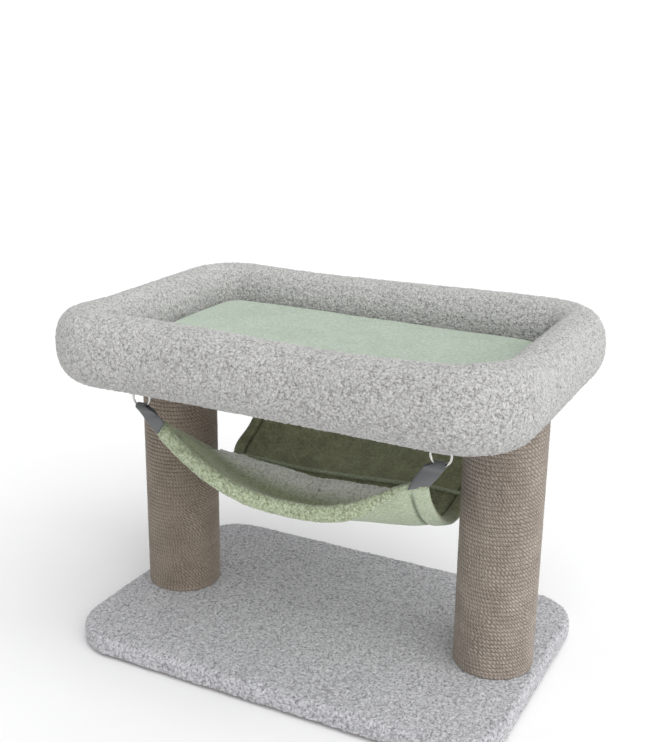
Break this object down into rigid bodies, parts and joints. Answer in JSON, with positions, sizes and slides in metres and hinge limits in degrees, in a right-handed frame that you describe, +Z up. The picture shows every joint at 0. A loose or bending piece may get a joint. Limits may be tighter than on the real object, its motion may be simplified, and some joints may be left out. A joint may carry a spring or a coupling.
{
  "type": "cat tree",
  "caption": "Low cat tree: plush base, sisal posts, an oblong bed with a fat curly rim and loose mat, and a cloth sling hammock on rings below the bed.",
  "frame": {"origin": "on the floor, under the centre of the base", "axes": "+Z up, +X along the long side to the right seen from the front, -Y towards the front"},
  "size_m": [0.556, 0.385, 0.4069],
  "materials": {
    "board": "matte",
    "grey_plush": "matte",
    "rubber": "matte",
    "zinc_steel": "satin",
    "cardboard": "matte",
    "sisal": "matte",
    "plug_wood": "matte",
    "foam": "matte",
    "mat_velvet": "matte",
    "felt": "matte",
    "green_flannel": "matte",
    "green_sherpa": "matte",
    "grey_webbing": "matte",
    "chrome_wire": "polished"
  },
  "bodies": {
    "frame": {"base_board": "board", "base_cover": "grey_plush", "base_feet": "rubber", "base_bolts": "zinc_steel", "base_washers": "zinc_steel", "bed_bolts": "zinc_steel", "bed_washers": "zinc_steel", "post_tube_left": "cardboard", "post_tube_right": "cardboard", "sisal_rope_left": "sisal", "sisal_rope_right": "sisal", "post_plug_bottom_left": "plug_wood", "post_plug_bottom_right": "plug_wood", "post_plug_top_left": "plug_wood", "post_plug_top_right": "plug_wood", "post_inserts": "zinc_steel", "bed_board": "board", "bed_cover": "grey_plush", "bed_staples": "zinc_steel", "rim_foam": "foam", "rim_cover": "grey_plush", "screw_eye_front_left": "chrome_wire", "screw_eye_front_right": "chrome_wire", "screw_eye_back_left": "chrome_wire", "screw_eye_back_right": "chrome_wire"},
    "mat": {"mat_cover": "mat_velvet", "mat_foam": "foam", "mat_backing": "felt"},
    "ring_front_left": {"ring_front_left": "chrome_wire"},
    "ring_front_right": {"ring_front_right": "chrome_wire"},
    "ring_back_left": {"ring_back_left": "chrome_wire"},
    "ring_back_right": {"ring_back_right": "chrome_wire"},
    "hammock": {"hammock_shell": "green_flannel", "hammock_lining": "green_sherpa", "hammock_hem_front": "green_sherpa", "hammock_hem_back": "green_flannel", "hammock_piping": "green_flannel", "strap_front_left": "grey_webbing", "strap_front_right": "grey_webbing", "strap_back_left": "grey_webbing", "strap_back_right": "grey_webbing"}
  },
  "joints": [
    {"name": "mat_lift", "type": "slide", "parent": "frame", "child": "mat", "axis": [0, 0, 1], "range_m": [0, 0.12]},
    {"name": "ring_front_left_swing", "type": "hinge", "parent": "frame", "child": "ring_front_left", "pos_m": [-0.1795, -0.117, 0.3196], "axis": [1, 0, 0], "range_deg": [-35, 35]},
    {"name": "ring_front_right_swing", "type": "hinge", "parent": "frame", "child": "ring_front_right", "pos_m": [0.1795, -0.117, 0.3196], "axis": [1, 0, 0], "range_deg": [-35, 35]},
    {"name": "ring_back_left_swing", "type": "hinge", "parent": "frame", "child": "ring_back_left", "pos_m": [-0.1795, 0.117, 0.3196], "axis": [1, 0, 0], "range_deg": [-35, 35]},
    {"name": "ring_back_right_swing", "type": "hinge", "parent": "frame", "child": "ring_back_right", "pos_m": [0.1795, 0.117, 0.3196], "axis": [1, 0, 0], "range_deg": [-35, 35]},
    {"name": "hammock_sway", "type": "hinge", "parent": "ring_front_left", "child": "hammock", "pos_m": [-0.1795, -0.117, 0.2972], "axis": [1, 0, 0], "range_deg": [-35, 35]}
  ],
  "couplings": [
    {"joint": "ring_front_right_swing", "follows": "ring_front_left_swing", "ratio": 1},
    {"joint": "ring_back_left_swing", "follows": "ring_front_left_swing", "ratio": 1},
    {"joint": "ring_back_right_swing", "follows": "ring_front_left_swing", "ratio": 1},
    {"joint": "hammock_sway", "follows": "ring_front_left_swing", "ratio": -1}
  ]
}
